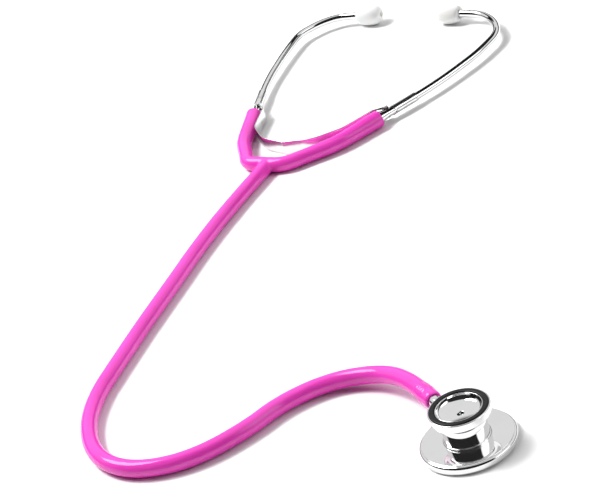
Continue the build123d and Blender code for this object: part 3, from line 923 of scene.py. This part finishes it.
class STETHOSCOPE_OT_chestpiece(Operator):
    """Turns the chestpiece's housing, bell, rings and diaphragm, and finishes its small steel parts"""
    bl_idname = "stethoscope.chestpiece"
    bl_label = "Chestpiece"

    def execute(self, context):
        own = sizes()
        disc, rim, bell = own.disc_radius / MM, own.rim_radius / MM, own.bell_radius / MM
        axis = BentLine([(0, 0, 0), (0, 0, 1)], normal=(1, 0, 0))
        outlines = {
            ("diaphragm_housing", "chrome_plate"): outline_of(
                (3.6, 1.65), (3.6, 20.9), (0.8, 20.9), (0.8, disc), (4.7, disc),
                (4.91, disc - 0.09, 5.0, disc - 0.3), (5.0, 12.08), (5.02, 12.02, 5.08, 12.0),
                (5.42, 12.0), (5.78, 11.82, 5.98, 11.42), (6.12, 11.31, 6.3, 11.3), (12.5, 11.3),
                (14.4, 11.06, 15.85, 10.53), (16.0, 10.35), (16.0, 7.0), (15.0, 7.0),
                (15.0, 1.65)),
            ("bell_cup", "chrome_plate"): outline_of(
                (15.0, 1.65), (15.0, 7.0), (16.0, 7.0), (16.0, 10.3), (16.1, 10.52),
                (17.05, 11.3, 17.5, 13.0), (17.5, 14.2), (17.67, 14.67, 18.3, bell - 0.6),
                (21.8, bell), (22.18, bell - 0.11, 22.3, bell - 0.4), (22.3, 14.85),
                (22.2, 14.8), (20.6, 14.8), (20.6, 11.8), (22.2, 11.8),
                (22.46, 11.55, 22.2, 11.3), (20.5, 10.7, 19.5, 9.2), (18.65, 2.0),
                (18.55, 1.76, 18.3, 1.65)),
            ("bell_rim_ring", "rim_rubber"): outline_of(
                (20.6, 11.85), (20.6, 14.75), (22.25, 14.8), (22.7, 14.5, 22.9, 13.7),
                (22.9, 12.9), (22.7, 12.1, 22.25, 11.8)),
            ("diaphragm", "diaphragm_film"): outline_of(
                (0, 0), (0, 20.3), (0.5, 20.9), (0.5, 22.4), (0.8, 22.4), (0.8, 20.7),
                (0.3, 20.1), (0.3, 0)),
            ("diaphragm_ring", "chrome_plate"): outline_of(
                (0.5, 21.1), (0, 21.3), (0, 23.3), (0.6, rim - 0.2, 1.6, rim), (2.9, rim),
                (3.9, rim - 0.3, 4.4, disc), (0.5, disc)),
        }
        for (node, finish), outline in outlines.items():
            piece = turned(f"{node}_turned", outline, axis, finish, rings=192,
                           closed=node != "diaphragm")
            if node == "diaphragm_housing":
                height = Vector((0, 0, STEM_HEIGHT))
                bore_start, bore_end, bore_radius = 7, 14, 2.95
                cut(piece, (height - STEM_WAY * bore_start * MM,
                            height + STEM_WAY * bore_end * MM, bore_radius))
            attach(piece, "chest_head")
            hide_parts(node)
        for node in ("detent_ball", "detent_spring", "detent_screw", "stem_clip"):
            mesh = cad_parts[node].data
            mesh.materials.clear()
            mesh.materials.append(finish_of("detent_steel"))
        return {"FINISHED"}


class STETHOSCOPE_OT_stem(Operator):
    """Turns the stem and stretches the tubing's cuff over its barbs"""
    bl_idname = "stethoscope.stem"
    bl_label = "Stem and Cuff"

    def execute(self, context):
        start = Vector((0, 0, STEM_HEIGHT))
        line = BentLine([start, start + STEM_WAY], normal=(0, 0, 1))
        stem_radius, shaft, groove, sound_bore = 3.35, 2.9, 2.55, 1.6
        outline = [(-6.5, sound_bore), (-6.5, shaft - 0.2), (-6.3, shaft)]
        for place, half in ((-4.5, 0.4), (7.2, 1.05)):  # the clip's groove and the detent's
            outline += [(place - half, shaft), (place - half, groove), (place + half, groove),
                        (place + half, shaft)]
        outline += [(11.7, shaft), (11.7, stem_radius - 0.3), (11.79, stem_radius - 0.09),
                    (12.0, stem_radius)]
        barbs, crest, root = 4, 3.8, 2.95
        pitch = (CUFF_END - CUFF_START - 2) / barbs
        for barb in range(barbs):
            begin = CUFF_START + 1 + barb * pitch
            outline += [(begin, stem_radius), (begin, crest), (begin + 0.8 * pitch, root)]
        outline += [(CUFF_END - 1, root), (CUFF_END - 1, sound_bore)]
        stem = turned("stem_turned", outline, line, "chrome_plate", rings=96)
        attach(stem, "tubing")
        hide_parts("chest_stem")

        mouth = stem_radius + CLEARANCE
        skin_line = eased([(CUFF_START + 0.35, 4.35), (CUFF_START + 1.4, 4.68),
                           (CUFF_START + 4, 4.80), (CUFF_START + 7, 4.84),
                           (CUFF_START + 10.5, 4.74), (CUFF_END, 4.6)], 14)
        # Low ridges show where the barbs press from inside; they fade in, and out at the end.
        first_ridge, ridge_pitch, ridge_height = 35.4, 1.9, 0.16
        ridged = []
        for place, radius in skin_line:
            share = min(1, max(0, (place - 35.2) / 1.2)) * min(1, max(0, (CUFF_END - place) / 0.8))
            wave = sin(pi * (place - first_ridge) / ridge_pitch) ** 2
            ridged.append((place, radius + ridge_height * share * wave))
        outline = [(CUFF_START + 0.3, mouth), (CUFF_START + 0.05, mouth + 0.15),
                   (CUFF_START, mouth + 0.35), (CUFF_START + 0.04, 4.12),
                   (CUFF_START + 0.15, 4.26), *ridged, (CUFF_END, 2.3), (CUFF_END - 0.6, 2.3),
                   (CUFF_END - 0.6, mouth)]
        cuff = turned("cuff_stretched", outline, line, "tubing_pvc", rings=96)
        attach(cuff, "tubing")
        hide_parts("tube_cuff")
        return {"FINISHED"}


STEPS = (STETHOSCOPE_OT_stage, STETHOSCOPE_OT_main_tube, STETHOSCOPE_OT_arms,
         STETHOSCOPE_OT_stem, STETHOSCOPE_OT_spring, STETHOSCOPE_OT_ear_tubes,
         STETHOSCOPE_OT_ear_tips, STETHOSCOPE_OT_chestpiece)


class STETHOSCOPE_PT_panel(Panel):
    """Sizes, colours and steps of the stethoscope"""
    bl_idname = "STETHOSCOPE_PT_panel"
    bl_label = "Stethoscope"
    bl_space_type = "VIEW_3D"
    bl_region_type = "UI"
    bl_category = "Stethoscope"

    def draw(self, context):
        for title, group in (("Sizes", context.scene.stethoscope_sizes),
                             ("Colours", context.scene.stethoscope_colours)):
            box = self.layout.box()
            box.label(text=title)
            for name in group.__annotations__:
                box.prop(group, name)
        for step in STEPS:
            self.layout.operator(step.bl_idname)


CLASSES = (StethoscopeSizes, StethoscopeColours, *STEPS, STETHOSCOPE_PT_panel)


def register():
    for cls in CLASSES:
        bpy.utils.register_class(cls)
    bpy.types.Scene.stethoscope_sizes = PointerProperty(type=StethoscopeSizes)
    bpy.types.Scene.stethoscope_colours = PointerProperty(type=StethoscopeColours)


def unregister():
    del bpy.types.Scene.stethoscope_colours
    del bpy.types.Scene.stethoscope_sizes
    for cls in reversed(CLASSES):
        bpy.utils.unregister_class(cls)


def main():
    register()
    for step in STEPS:
        group, name = step.bl_idname.split(".")
        getattr(getattr(bpy.ops, group), name)()


if __name__ == "__main__":
    main()
